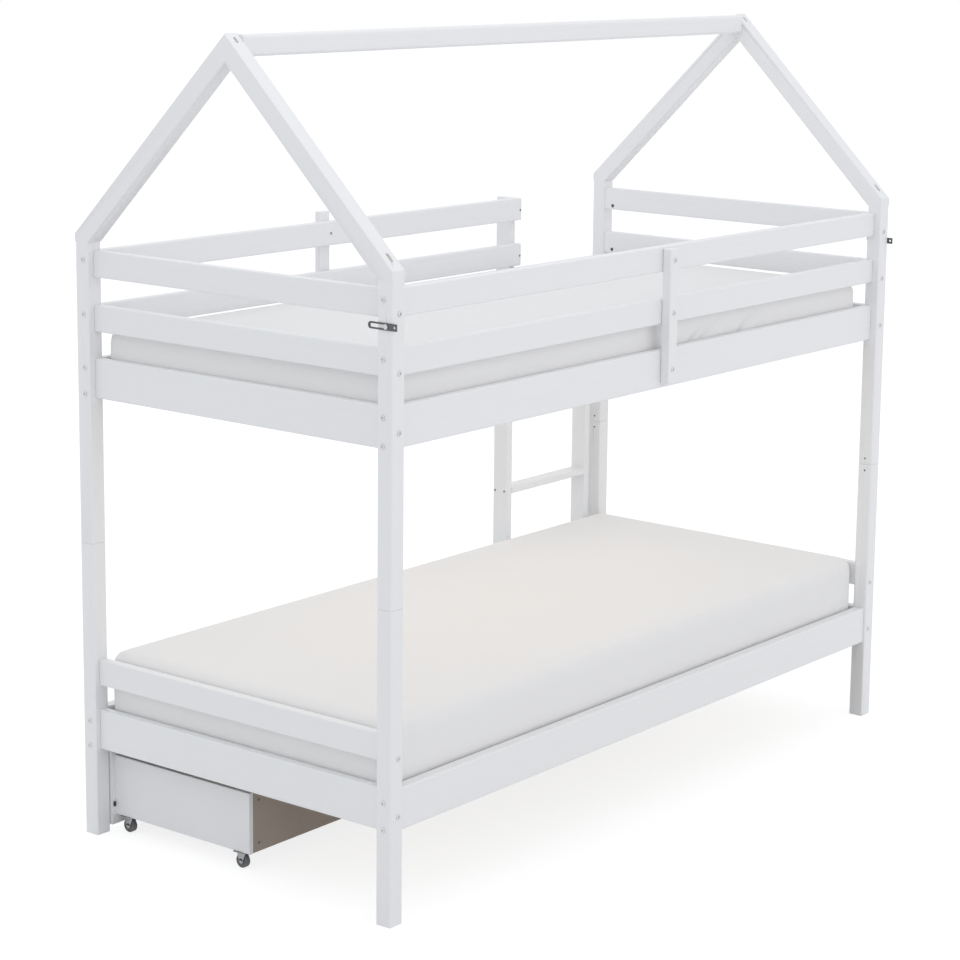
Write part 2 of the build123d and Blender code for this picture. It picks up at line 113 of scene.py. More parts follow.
# a round bar, upright or lying along the length of the bed
def addRod(radius, depth, sides, place=(0, 0, 0), lying=False):
    turn = (0, math.pi / 2, 0) if lying else (0, 0, 0)
    bpy.ops.mesh.primitive_cylinder_add(vertices=sides, radius=radius, depth=depth,
                                        location=place, rotation=turn)
    rod = bpy.context.object
    applyAll(rod)
    return rod


def joinAll(objects, name):
    bpy.ops.object.select_all(action="DESELECT")
    for obj in objects:
        obj.select_set(True)
    bpy.context.view_layer.objects.active = objects[0]
    bpy.ops.object.join()
    objects[0].name = name
    return objects[0]


def setMaterial(obj, material):
    obj.data.materials.clear()
    obj.data.materials.append(material)


def finishPiece(obj, material, body, angle):
    applyAll(obj)
    bpy.ops.object.shade_smooth_by_angle(angle=math.radians(angle))
    setMaterial(obj, material)
    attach(obj, body)


# turns a piece modelled upright on the origin so that its top faces along a direction
def facing(direction):
    return Vector(direction).to_track_quat("Z", "Y").to_matrix().to_4x4()


def copiesAt(master, name, places):
    made = []
    for spot, direction in places:
        twin = master.copy()
        twin.data = master.data.copy()
        bpy.context.collection.objects.link(twin)
        twin.data.transform(Matrix.Translation(spot) @ facing(direction))
        made.append(twin)
    bpy.data.objects.remove(master)
    return joinAll(made, name)


# Shader node groups

def newGroup(name, inputs, outputs):
    group = bpy.data.node_groups.new(name, "ShaderNodeTree")
    for label, kind, default in inputs:
        sock = group.interface.new_socket(name=label, in_out="INPUT", socket_type=kind)
        if default is not None:
            sock.default_value = default
    for label, kind in outputs:
        group.interface.new_socket(name=label, in_out="OUTPUT", socket_type=kind)
    start = group.nodes.new("NodeGroupInput")
    end = group.nodes.new("NodeGroupOutput")
    return group, start, end


def wire(tree, out, into):
    tree.links.new(out, into)


def mathNode(tree, operation, a, b):
    node = tree.nodes.new("ShaderNodeMath")
    node.operation = operation
    for i, value in enumerate((a, b)):
        if isinstance(value, (int, float)):
            node.inputs[i].default_value = value
        else:
            wire(tree, value, node.inputs[i])
    return node.outputs[0]


def noiseNode(tree, vector, scale, detail=3.0, rough=0.5):
    node = tree.nodes.new("ShaderNodeTexNoise")
    node.inputs["Scale"].default_value = scale
    node.inputs["Detail"].default_value = detail
    node.inputs["Roughness"].default_value = rough
    if vector is not None:
        wire(tree, vector, node.inputs["Vector"])
    return node.outputs["Fac"]


def makeGrainGroup():
    # long soft streaks of pine under a coat of finish; Stretch squeezes the pattern along the board
    tree, start, end = newGroup(
        "pineGrain",
        [("Vector", "NodeSocketVector", None), ("Stretch", "NodeSocketVector", (1.0, 1.0, 1.0))],
        [("Streaks", "NodeSocketFloat"), ("Fibres", "NodeSocketFloat"), ("Patches", "NodeSocketFloat")],
    )
    scaled = tree.nodes.new("ShaderNodeVectorMath")
    scaled.operation = "MULTIPLY"
    wire(tree, start.outputs["Vector"], scaled.inputs[0])
    wire(tree, start.outputs["Stretch"], scaled.inputs[1])
    vector = scaled.outputs[0]
    wave = tree.nodes.new("ShaderNodeTexWave")
    wave.wave_type = "RINGS"
    wave.rings_direction = "SPHERICAL"
    wave.inputs["Scale"].default_value = 16.0
    wave.inputs["Distortion"].default_value = 5.0
    wave.inputs["Detail"].default_value = 3.0
    wave.inputs["Detail Scale"].default_value = 1.4
    wire(tree, vector, wave.inputs["Vector"])
    wire(tree, wave.outputs["Fac"], end.inputs["Streaks"])
    wire(tree, noiseNode(tree, vector, 260.0, 4.0, 0.6), end.inputs["Fibres"])
    wire(tree, noiseNode(tree, start.outputs["Vector"], 3.5, 2.0), end.inputs["Patches"])
    return tree


def makeSpeckleGroup():
    # fine uneven surface of moulded plastic, board coating and plated steel
    tree, start, end = newGroup(
        "fineSpeckle",
        [("Vector", "NodeSocketVector", None), ("Size", "NodeSocketFloat", 400.0)],
        [("Speckle", "NodeSocketFloat"), ("Cloud", "NodeSocketFloat")],
    )
    fine = tree.nodes.new("ShaderNodeTexNoise")
    fine.inputs["Detail"].default_value = 2.0
    wire(tree, start.outputs["Vector"], fine.inputs["Vector"])
    wire(tree, start.outputs["Size"], fine.inputs["Scale"])
    wire(tree, fine.outputs["Fac"], end.inputs["Speckle"])
    wire(tree, noiseNode(tree, start.outputs["Vector"], 9.0, 3.0), end.inputs["Cloud"])
    return tree


def makeWeaveGroup():
    # fine knitted cotton: crossed ribs, with slow rumples over them
    tree, start, end = newGroup(
        "cottonWeave",
        [("Vector", "NodeSocketVector", None), ("Threads", "NodeSocketFloat", 900.0)],
        [("Threads", "NodeSocketFloat"), ("Rumple", "NodeSocketFloat"), ("Tone", "NodeSocketFloat")],
    )
    parts = []
    for direction in ("X", "Y"):
        wave = tree.nodes.new("ShaderNodeTexWave")
        wave.bands_direction = direction
        wave.inputs["Distortion"].default_value = 1.2
        wire(tree, start.outputs["Vector"], wave.inputs["Vector"])
        wire(tree, start.outputs["Threads"], wave.inputs["Scale"])
        parts.append(wave.outputs["Fac"])
    wire(tree, mathNode(tree, "MULTIPLY", parts[0], parts[1]), end.inputs["Threads"])
    wire(tree, noiseNode(tree, start.outputs["Vector"], 7.0, 3.0, 0.45), end.inputs["Rumple"])
    wire(tree, noiseNode(tree, start.outputs["Vector"], 1.7, 2.0), end.inputs["Tone"])
    return tree


pineGrain = makeGrainGroup()
fineSpeckle = makeSpeckleGroup()
cottonWeave = makeWeaveGroup()


def newMaterial(name, roughness, metallic=0.0):
    material = bpy.data.materials.new(name)
    material.use_nodes = True
    tree = material.node_tree
    shader = tree.nodes["Principled BSDF"]
    shader.inputs["Roughness"].default_value = roughness
    shader.inputs["Metallic"].default_value = metallic
    coords = tree.nodes.new("ShaderNodeTexCoord")
    return material, tree, shader, coords.outputs["Object"]


def placeGroup(tree, group, vector):
    node = tree.nodes.new("ShaderNodeGroup")
    node.node_tree = group
    wire(tree, vector, node.inputs["Vector"])
    return node


def mixColours(tree, fac, dark, light):
    node = tree.nodes.new("ShaderNodeMix")
    node.data_type = "RGBA"
    node.inputs["A"].default_value = (*dark, 1.0)
    node.inputs["B"].default_value = (*light, 1.0)
    wire(tree, fac, node.inputs["Factor"])
    return node.outputs["Result"]


def bumpFrom(tree, shader, height, strength, distance, under=None):
    node = tree.nodes.new("ShaderNodeBump")
    node.inputs["Strength"].default_value = strength
    node.inputs["Distance"].default_value = distance
    wire(tree, height, node.inputs["Height"])
    if under is not None:
        wire(tree, under, node.inputs["Normal"])
    wire(tree, node.outputs["Normal"], shader.inputs["Normal"])
    return node.outputs["Normal"]


def ranged(tree, value, low, high):
    node = tree.nodes.new("ShaderNodeMapRange")
    node.inputs["To Min"].default_value = low
    node.inputs["To Max"].default_value = high
    wire(tree, value, node.inputs["Value"])
    return node.outputs["Result"]


# Materials

paint = {
    "light": (0.83, 0.832, 0.838),
    "dark": (0.822, 0.824, 0.830),
    "roughness": (0.38, 0.46),
    "streakDepth": 0.00001,
    "fibreDepth": 0.00001,
}

boardStretch = {"x": (0.045, 1.0, 1.0), "y": (1.0, 0.045, 1.0), "z": (1.0, 1.0, 0.045)}


def paintedWood(name, along, turn=0.0):
    material, tree, shader, vector = newMaterial(name, 0.4)
    if turn:
        mapping = tree.nodes.new("ShaderNodeMapping")
        mapping.inputs["Rotation"].default_value = (turn, 0.0, 0.0)
        wire(tree, vector, mapping.inputs["Vector"])
        vector = mapping.outputs["Vector"]
    grain = placeGroup(tree, pineGrain, vector)
    grain.inputs["Stretch"].default_value = boardStretch[along]
    mask = mathNode(tree, "MULTIPLY", grain.outputs["Streaks"], grain.outputs["Patches"])
    wire(tree, mixColours(tree, mask, paint["light"], paint["dark"]), shader.inputs["Base Color"])
    wire(tree, ranged(tree, grain.outputs["Fibres"], *paint["roughness"]), shader.inputs["Roughness"])
    first = bumpFrom(tree, shader, grain.outputs["Streaks"], 0.2, paint["streakDepth"])
    bumpFrom(tree, shader, grain.outputs["Fibres"], 0.2, paint["fibreDepth"], first)
    shader.inputs["Coat Weight"].default_value = 0.15
    shader.inputs["Coat Roughness"].default_value = 0.3
    return material


rafterAngle = math.radians(44.5)
paintX = paintedWood("paintedPineAlongX", "x")
paintY = paintedWood("paintedPineAlongY", "y")
paintZ = paintedWood("paintedPineUpright", "z")
paintRafterFront = paintedWood("paintedPineRafterFront", "y", -rafterAngle)
paintRafterRear = paintedWood("paintedPineRafterRear", "y", rafterAngle)


bareFibre = {
    "dark": (0.72, 0.68, 0.62),
    "light": (1.0, 1.0, 1.0),
    "share": 0.35,
    "spread": 0.08,
    "depth": 0.0003,
}
bareColour = {"light": (0.80, 0.68, 0.50), "dark": (0.66, 0.50, 0.31)}


def bareWood(name, along, light, dark, roughness):
    material, tree, shader, vector = newMaterial(name, roughness)
    grain = placeGroup(tree, pineGrain, vector)
    grain.inputs["Stretch"].default_value = boardStretch[along]
    fibres = grain.outputs["Fibres"]
    tone = mixColours(tree, grain.outputs["Streaks"], light, dark)
    blend = tree.nodes.new("ShaderNodeMix")
    blend.data_type = "RGBA"
    blend.blend_type = "MULTIPLY"
    blend.inputs["Factor"].default_value = bareFibre["share"]
    wire(tree, tone, blend.inputs["A"])
    wire(tree, mixColours(tree, fibres, bareFibre["dark"], bareFibre["light"]), blend.inputs["B"])
    wire(tree, blend.outputs["Result"], shader.inputs["Base Color"])
    low, high = roughness - bareFibre["spread"], roughness + bareFibre["spread"]
    wire(tree, ranged(tree, fibres, low, high), shader.inputs["Roughness"])
    bumpFrom(tree, shader, fibres, 0.4, bareFibre["depth"])
    return material


slatPine = bareWood("planedPineSlats", "y", bareColour["light"], bareColour["dark"], 0.55)
ledgerPine = bareWood("planedPineLedgers", "x", bareColour["light"], bareColour["dark"], 0.55)
beech = bareWood("beechDowels", "z", (0.72, 0.56, 0.38), (0.60, 0.44, 0.28), 0.6)


# board, plated steel and moulded plastic, which share one fine speckle
surfaces = {
    "board": {"metallic": 0.0, "size": 700.0, "bump": 0.2, "depth": 0.0001},
    "plate": {"metallic": 1.0, "size": 900.0, "bump": 0.15, "depth": 0.00005},
    "plastic": {"metallic": 0.0, "size": 1200.0, "bump": 0.2, "depth": 0.0001},
}


def speckled(name, kind, light, dark, roughness):
    surface = surfaces[kind]
    material, tree, shader, vector = newMaterial(name, sum(roughness) / 2, surface["metallic"])
    speck = placeGroup(tree, fineSpeckle, vector)
    speck.inputs["Size"].default_value = surface["size"]
    wire(tree, mixColours(tree, speck.outputs["Cloud"], light, dark), shader.inputs["Base Color"])
    wire(tree, ranged(tree, speck.outputs["Speckle"], *roughness), shader.inputs["Roughness"])
    bumpFrom(tree, shader, speck.outputs["Speckle"], surface["bump"], surface["depth"])
    return material


drawerBoard = speckled("whiteBoard", "board", (0.82, 0.82, 0.825), (0.78, 0.78, 0.785), (0.42, 0.58))
# the drawer backs: warm raw board, made darker still as painted shade from the bed above them
backBoardPaintedShade = speckled("rawBackBoardPaintedShade", "board", (0.36, 0.305, 0.26), (0.30, 0.25, 0.21), (0.42, 0.58))
zinc = speckled("zincPlate", "plate", (0.66, 0.67, 0.68), (0.52, 0.53, 0.55), (0.28, 0.45))
strapSteel = speckled("strapSteel", "plate", (0.15, 0.155, 0.16), (0.09, 0.095, 0.10), (0.25, 0.4))
paleCap = speckled("paleBoltHead", "plate", (0.70, 0.70, 0.71), (0.62, 0.62, 0.63), (0.4, 0.55))
darkNut = speckled("darkNut", "plate", (0.12, 0.12, 0.125), (0.07, 0.07, 0.072), (0.4, 0.55))
castorZinc = speckled("castorZinc", "plate", (0.42, 0.43, 0.44), (0.30, 0.31, 0.32), (0.35, 0.5))
darkScrew = speckled("darkScrew", "plastic", (0.035, 0.035, 0.04), (0.02, 0.02, 0.022), (0.35, 0.5))
wheelGrey = speckled("wheelGrey", "plastic", (0.16, 0.16, 0.165), (0.11, 0.11, 0.112), (0.5, 0.65))


def cottonSheet(name):
    material, tree, shader, vector = newMaterial(name, 0.85)
    weave = placeGroup(tree, cottonWeave, vector)
    wire(tree, mixColours(tree, weave.outputs["Tone"], (0.84, 0.83, 0.825), (0.82, 0.81, 0.805)),
         shader.inputs["Base Color"])
    wire(tree, ranged(tree, weave.outputs["Threads"], 0.78, 0.95), shader.inputs["Roughness"])
    first = bumpFrom(tree, shader, weave.outputs["Rumple"], 0.25, 0.004)
    bumpFrom(tree, shader, weave.outputs["Threads"], 0.2, 0.0002, first)
    shader.inputs["Sheen Weight"].default_value = 0.15
    shader.inputs["Sheen Roughness"].default_value = 0.5
    return material


sheetCotton = cottonSheet("whiteCottonSheet")
print("materials ready")


# Materials on the CAD pieces that stay as they are

def dress(material, *starts):
    for name, obj in nodes.items():
        if name.startswith(starts):
            setMaterial(obj, material)


dress(paintZ, "front_guard_stile", "rear_guard_stile", "ladder_stile")
dress(paintX, "ridge_beam", "front_guard_rails", "front_upper", "front_lower", "rear_guard_rails",
      "rear_upper", "rear_lower", "ladder_rungs", "drawer1_front", "drawer2_front")
dress(paintY, "left_end", "right_end")
dress(slatPine, "upper_slats", "lower_slats")
dress(ledgerPine, "slat_ledgers")
dress(beech, "joint_dowels")
dress(zinc, "strap_bolts")
dress(darkNut, "barrel_nuts")
dress(drawerBoard, "drawer1_sides", "drawer1_bottom", "drawer2_sides", "drawer2_bottom")
# the drawer backs carry painted shade from the bed above
dress(backBoardPaintedShade, "drawer1_back", "drawer2_back")


# Pieces made over a copy of the CAD node's own mesh

def mergedCopy(node, name):
    # a copy of the node with its loose triangles joined, to be worked on and to stand in for it
    source = nodes[node]
    obj = bpy.data.objects.new(name, source.data.copy())
    bpy.context.collection.objects.link(obj)
    obj.matrix_world = source.matrix_world
    applyAll(obj)
    bpy.ops.object.mode_set(mode="EDIT")
    bpy.ops.mesh.select_all(action="SELECT")
    bpy.ops.mesh.remove_doubles(threshold=0.00001)
    bpy.ops.mesh.dissolve_limited(angle_limit=math.radians(0.5))
    done()
    return obj


def cutWith(obj, cutter):
    addModifier(obj, "BOOLEAN", object=cutter, operation="DIFFERENCE", solver="EXACT")
    bpy.data.objects.remove(cutter)


bed = {
    "halfLength": 1.040,
    "halfWidth": 0.490,
    "post": 0.042,
    "jointHeight": 0.727,
    "gableTop": 1.954,
    "postTop": 1.451,
    "heel": 0.021,
    "innerY": 0.448,
}

seam = {"bevel": 0.0015, "segments": 2, "rimShare": 0.4, "near": 0.0001}
corners = {"front_left": (-1, -1), "front_right": (1, -1), "rear_left": (-1, 1), "rear_right": (1, 1)}


def bevelledPost(part, corner):
    # the two lengths of a post meet on small chamfers, which show as a fine line
    node = part + "_post_" + corner
    obj = mergedCopy(node, node + "_eased")
    sx, sy = corners[corner]
    inset = bed["post"] / 2
    centre = Vector((sx * (bed["halfLength"] - inset), sy * (bed["halfWidth"] - inset) + shift))
    reach = bed["post"] * seam["rimShare"]

    def onRim(a, b):
        for p in (a, b):
            if abs(p.z - bed["jointHeight"]) > seam["near"]:
                return False
            if max(abs(p.x - centre.x), abs(p.y - centre.y)) < reach:
                return False
        return True

    bevelEdges(obj, onRim, seam["bevel"], seam["segments"])
    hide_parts(node)
    finishPiece(obj, paintZ, "bed", 30)


for corner in corners:
    for part in ("lower", "upper"):
        bevelledPost(part, corner)


rafterSlot = {
    "footInset": 0.027,
    "footLength": 0.025,
    "footWidth": 0.0095,
    "depth": 0.009,
    "apexDrop": 0.015,
    "apexLength": 0.018,
    "apexWidth": 0.0088,
    "floorShare": 0.9,
    "floorGap": 0.0006,
    "floorHalf": 0.0004,
}
slopeRatio = (bed["gableTop"] - bed["postTop"] - bed["heel"]) / bed["halfWidth"]


def slotCutter(place, sy, length, width):
    # a round-ended milling cutter's path, lying along the slope
    straight = (length - width) / 2
    along = Vector((0, sy, -slopeRatio)).normalized()
    outward = Vector((0, sy * slopeRatio, 1)).normalized()
    turned = Matrix((Vector((1, 0, 0)) * sy, along, outward)).transposed().to_4x4()
    cutter = addRod(width / 2, rafterSlot["depth"] * 2, 32)
    for vertex in cutter.data.vertices:
        vertex.co.y += straight if vertex.co.y > 0 else -straight
    cutter.data.transform(Matrix.Translation(place) @ turned)
    return cutter


def slottedRafter(corner):
    node = "rafter_" + corner
    obj = mergedCopy(node, node + "_slotted")
    sx, sy = corners[corner]
    x = sx * (bed["halfLength"] - bed["post"] / 2)
    footY = bed["halfWidth"] - rafterSlot["footInset"]
    apexY = rafterSlot["apexDrop"] / slopeRatio
    for y, length, width in ((footY, rafterSlot["footLength"], rafterSlot["footWidth"]),
                             (apexY, rafterSlot["apexLength"], rafterSlot["apexWidth"])):
        place = Vector((x, sy * y + shift, bed["gableTop"] - slopeRatio * y))
        cutWith(obj, slotCutter(place, sy, length, width))
    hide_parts(node)
    finishPiece(obj, paintRafterFront if sy < 0 else paintRafterRear, "bed", 30)
    lining(corner, x, sy, footY)


def lining(corner, x, sy, footY):
    # bare wood on the floor of the milled slot: the cutter's form, pressed thin
    depth = rafterSlot["depth"] * rafterSlot["floorShare"]
    outward = Vector((0, sy * slopeRatio, 1)).normalized()
    mouth = Vector((x, sy * footY + shift, bed["gableTop"] - slopeRatio * footY))
    place = mouth - outward * depth
    piece = slotCutter(place, sy, rafterSlot["footLength"] - rafterSlot["floorGap"],
                       rafterSlot["footWidth"] - rafterSlot["floorGap"])
    middle = place.dot(outward)
    for vertex in piece.data.vertices:
        height = vertex.co.dot(outward)
        level = rafterSlot["floorHalf"] if height > middle else -rafterSlot["floorHalf"]
        vertex.co += outward * (middle + level - height)
    piece.name = "slot_floor_" + corner
    finishPiece(piece, beech, "bed", 30)


for corner in corners:
    slottedRafter(corner)
print("posts and rafters ready")


# Bolts, screws and straps

def islandBoxes(node):
    # the corners of each separate solid in a node
    obj = mergedCopy(node, node + "_probe")
    activate(obj)
    bpy.ops.mesh.separate(type="LOOSE")
    boxes = []
    for part in list(bpy.context.selected_objects):
        points = [v.co for v in part.data.vertices]
        low = Vector([min(p[i] for p in points) for i in range(3)])
        high = Vector([max(p[i] for p in points) for i in range(3)])
        boxes.append((low, high))
        bpy.data.objects.remove(part)
    return boxes


bolt = {
    "headRadius": 0.0065,
    "dome": 0.0024,
    "rimShare": 0.9,
    "roundShare": 0.75,
    "socket": 0.0042,
    "socketDepth": 0.0018,
    "shank": 0.003,
    "headInCad": 0.003,
}


def boltHead():
    # a low dome with a hexagon socket, seated on the plane z = 0
    head = addRod(bolt["headRadius"], bolt["dome"], 24, (0, 0, bolt["dome"] / 2))
    rim = bolt["dome"] * bolt["rimShare"]
    bevelEdges(head, lambda a, b: min(a.z, b.z) > rim, bolt["dome"] * bolt["roundShare"], 3)
    cornerRadius = bolt["socket"] / 2 / math.cos(math.pi / 6)
    cutter = addRod(cornerRadius, bolt["socketDepth"] * 2, 6, (0, 0, bolt["dome"]))
    cutWith(head, cutter)
    return head


def modelledBolts():
    heads, shanks = [], []
    for low, high in islandBoxes("frame_bolts"):
        size, middle = high - low, (low + high) / 2
        axis = 0 if size.x > size.y else 1
        side = 1 if middle[axis] > 0 else -1
        direction = Vector((side, 0, 0)) if axis == 0 else Vector((0, side, 0))
        tip = high[axis] if side > 0 else low[axis]
        face = middle.copy()
        face[axis] = tip - side * bolt["headInCad"]
        heads.append((face, direction))
        length = size[axis] - bolt["headInCad"]
        shank = addRod(bolt["shank"], length, 12)
        shank.data.transform(Matrix.Translation(face - direction * length / 2) @ facing(direction))
        shanks.append(shank)
    piece = joinAll([copiesAt(boltHead(), "boltHeads", heads)] + shanks, "frameBolts")
    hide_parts("frame_bolts")
    finishPiece(piece, paleCap, "bed", 40)


modelledBolts()

screw = {
    "radius": 0.0031,
    "length": 0.003,
    "taper": 0.4,
    "rise": 0.0004,
    "slot": 0.0009,
    "crossShare": 0.62,
    "cut": (-0.0008, 0.001),
}


def screwHead():
    # a countersunk head with a cross cut in it, seated on the plane z = 0
    bpy.ops.mesh.primitive_cone_add(vertices=16, radius1=screw["radius"] * screw["taper"],
                                    radius2=screw["radius"], depth=screw["length"],
                                    location=(0, 0, screw["rise"] - screw["length"] / 2))
    head = bpy.context.object
    applyAll(head)
    reach = screw["radius"] * screw["crossShare"]
    low, high = screw["cut"]
    for wide, deep in ((reach, screw["slot"] / 2), (screw["slot"] / 2, reach)):
        cutWith(head, addBlock("crossCut", (-wide, -deep, low), (wide, deep, high)))
    return head


# where the dark dots are: at the post joints, on the stiles, on the ladder and along the ledgers
screwPlaces = {
    "jointX": 0.9988,
    "jointY": 0.469,
    "jointRises": (-0.017, 0.017),
    "stiles": ((-0.1975, (1.400, 1.272, 1.142)), (0.596, (1.397, 1.267)), (0.964, (1.142, 1.112))),
    "rungs": 4,
    "rungPitch": 0.290,
    "rungY": (0.4795, 0.5127),
    "ladderSides": ((0.578, -1), (0.976, 1)),
    "ledgers": ((0.428, 1.094), (0.434, 0.262)),
    "ledgerPitch": 0.28,
    "ledgerSteps": range(-3, 4),
}


def frameScrews():
    spots = []
    for sx, sy in corners.values():
        for rise in screwPlaces["jointRises"]:
            post = Vector((sx * screwPlaces["jointX"], sy * screwPlaces["jointY"] + shift,
                           bed["jointHeight"] + rise))
            spots.append((post, (-sx, 0, 0)))
    for x, heights in screwPlaces["stiles"]:
        for z in heights:
            spots.append((Vector((x, bed["innerY"] + shift, z)), (0, -1, 0)))
    for rung in range(screwPlaces["rungs"]):
        z = screwPlaces["rungPitch"] * (rung + 1)
        for y in screwPlaces["rungY"]:
            for x, side in screwPlaces["ladderSides"]:
                spots.append((Vector((x, y + shift, z)), (side, 0, 0)))
    for sy in (-1, 1):
        for face, z in screwPlaces["ledgers"]:
            for step in screwPlaces["ledgerSteps"]:
                place = Vector((step * screwPlaces["ledgerPitch"], sy * face + shift, z))
                spots.append((place, (0, -sy, 0)))
    piece = copiesAt(screwHead(), "frameScrews", spots)
    finishPiece(piece, darkScrew, "bed", 40)


frameScrews()


stileBoltPlaces = {"x": 0.0045, "y": -0.496, "heights": (1.398, 1.268, 1.128)}


def stileBolts():
    # pale bolt heads on the outer face of the front stile
    face = stileBoltPlaces["y"] + shift
    spots = [(Vector((stileBoltPlaces["x"], face, z)), (0, -1, 0)) for z in stileBoltPlaces["heights"]]
    piece = copiesAt(boltHead(), "stileBolts", spots)
    finishPiece(piece, paleCap, "bed", 40)


stileBolts()


drawerLook = {"screwInX": 0.020, "screwInZ": 0.022}
darkBlock = {"inset": 0.0055, "width": 0.005, "thick": 0.004, "low": 0.063, "high": 0.075, "bevel": 0.0008}


def drawerFittings(drawer):
    # four screws in the back panel, and two small dark blocks behind the front
    low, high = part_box(drawer + "_back")
    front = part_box(drawer + "_front")
    spots = []
    for x in (low.x + drawerLook["screwInX"], high.x - drawerLook["screwInX"]):
        for z in (low.z + drawerLook["screwInZ"], high.z - drawerLook["screwInZ"]):
            spots.append((Vector((x, low.y, z)), (0, -1, 0)))
    piece = copiesAt(screwHead(), drawer + "Screws", spots)
    finishPiece(piece, darkScrew, drawer, 40)
    inner = front[0].y
    half = darkBlock["width"] / 2
    for i, x in enumerate((front[0].x + darkBlock["inset"], front[1].x - darkBlock["inset"])):
        pad = addBlock(drawer + "Buffer" + str(i), (x - half, inner - darkBlock["thick"], darkBlock["low"]),
                       (x + half, inner, darkBlock["high"]))
        bevelEdges(pad, lambda a, b: True, darkBlock["bevel"], 2)
        finishPiece(pad, darkScrew, drawer, 40)


for drawer in ("drawer1", "drawer2"):
    drawerFittings(drawer)

strap = {
    "height": 0.016,
    "thick": 0.0025,
    "slotLength": 0.042,
    "slotHeight": 0.008,
    "slotEnd": 0.006,
    "hole": 0.003,
    "holeAt": 0.007,
    "roundShare": 0.48,
    "bevel": 0.0005,
    "through": 0.01,
}


def modelledStraps():
    low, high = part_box("wall_straps")
    z = (low.z + high.z) / 2
    pieces = []
    for x0, x1 in ((low.x, low.x + strap["thick"]), (high.x - strap["thick"], high.x)):
        plate = addBlock("strapPlate", (x0, low.y, low.z), (x1, high.y, high.z))
        bevelEdges(plate, lambda a, b: abs(a.x - b.x) > 0.001 and a.y > high.y - 0.001,
                   strap["height"] * strap["roundShare"], 8)
        end = high.y - strap["slotEnd"]
        start = end - strap["slotLength"]
        slot = addBlock("strapSlot", (x0 - strap["through"], start, z - strap["slotHeight"] / 2),
                        (x1 + strap["through"], end, z + strap["slotHeight"] / 2))
        bevelEdges(slot, lambda a, b: abs(a.x - b.x) > 0.001, strap["slotHeight"] * strap["roundShare"], 6)
        cutWith(plate, slot)
        spot = ((x0 + x1) / 2, low.y + strap["holeAt"], z)
        cutWith(plate, addRod(strap["hole"], 0.03, 24, spot, lying=True))
        addModifier(plate, "BEVEL", width=strap["bevel"], segments=2, limit_method="ANGLE")
        pieces.append(plate)
    piece = joinAll(pieces, "wallStraps")
    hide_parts("wall_straps")
    finishPiece(piece, strapSteel, "bed", 30)


modelledStraps()
print("fasteners ready")


# Castors

castor = {
    "plateSize": 0.038,
    "plateDepth": 0.032,
    "sheet": 0.002,
    "cheekAt": 0.0085,
    "cheekTop": 0.014,
    "cheekEnd": 0.0065,
    "wheelWidth": 0.0125,
    "wheelRadius": 0.017,
    "axle": 0.0026,
    "axleProud": 0.001,
    "bevel": 0.0004,
    "wheelBevel": 0.0012,
    "rim": 0.004,
    "dish": 0.001,
}
places = ("front_left", "front_right", "back_left", "back_right")


def wheelCentre(drawer, place):
    low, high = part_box(drawer + "_wheel_" + place)
    return (low + high) / 2


def castorFork(centre, top):
    # a pressed steel fork: a plate, two cheeks that taper to the axle, and the axle itself
    half = castor["plateSize"] / 2
    deep = castor["plateDepth"] / 2
    plate = addBlock("castorPlate", (centre.x - half, centre.y - deep, top - castor["sheet"]),
                     (centre.x + half, centre.y + deep, top))
    pieces = [plate]
    for side in (-1, 1):
        x = centre.x + side * castor["cheekAt"]
        x0, x1 = sorted((x, x - side * castor["sheet"]))
        cheek = addBlock("castorCheek", (x0, centre.y - castor["cheekTop"], centre.z),
                         (x1, centre.y + castor["cheekTop"], top - castor["sheet"]))
        for vertex in cheek.data.vertices:
            if vertex.co.z < centre.z + 0.001:
                vertex.co.y = centre.y + math.copysign(castor["cheekEnd"], vertex.co.y - centre.y)
        spot = ((x0 + x1) / 2, centre.y, centre.z)
        pieces += [cheek, addRod(castor["cheekEnd"], castor["sheet"], 24, spot, lying=True)]
    length = (castor["cheekAt"] + castor["axleProud"]) * 2
    pieces.append(addRod(castor["axle"], length, 20, centre, lying=True))
    for piece in pieces:
        addModifier(piece, "BEVEL", width=castor["bevel"], segments=2, limit_method="ANGLE")
    return pieces


def castorWheel(drawer, place):
    node = drawer + "_wheel_" + place
    wheel = addRod(castor["wheelRadius"], castor["wheelWidth"], 48, wheelCentre(drawer, place), lying=True)
    wheel.name = node + "_tread"
    pickFaces(wheel, lambda c, n: abs(n.x) > 0.9)
    bpy.ops.mesh.inset(thickness=castor["rim"])
    bpy.ops.mesh.extrude_region_shrink_fatten(TRANSFORM_OT_shrink_fatten={"value": -castor["dish"]})
    done()
    addModifier(wheel, "BEVEL", width=castor["wheelBevel"], segments=2, limit_method="ANGLE")
    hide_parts(node)
    finishPiece(wheel, wheelGrey, node, 30)


for drawer in ("drawer1", "drawer2"):
    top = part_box(drawer + "_castors")[1].z
    forks = []
    for place in places:
        forks += castorFork(wheelCentre(drawer, place), top)
        castorWheel(drawer, place)
    fork = joinAll(forks, drawer + "CastorForks")
    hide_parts(drawer + "_castors")
    finishPiece(fork, castorZinc, drawer, 30)
print("castors ready")


# Mattresses

sheetPad = {
    "voxel": 0.014,
    "cornerRound": 0.030,
    "topRound": {"upper": 0.024, "lower": 0.032},
    "underRound": 0.014,
    "frames": 20,
    "cap": 0.004,
    "fill": 0.85,
    "lift": 0.001,
    "near": 0.0001,
    "upper": {"low": (-0.997, -0.4435), "high": (0.968, 0.4435), "rise": -0.005},
    "lower": {"low": (-0.999, -0.447), "high": (0.999, 0.447), "rise": 0.010},
}

swell = {
    "quality": 5,
    "mass": 0.3,
    "tension_stiffness": 12,
    "compression_stiffness": 12,
    "bending_stiffness": 0.8,
    "use_pressure": True,
    "uniform_pressure_force": 5.0,
}

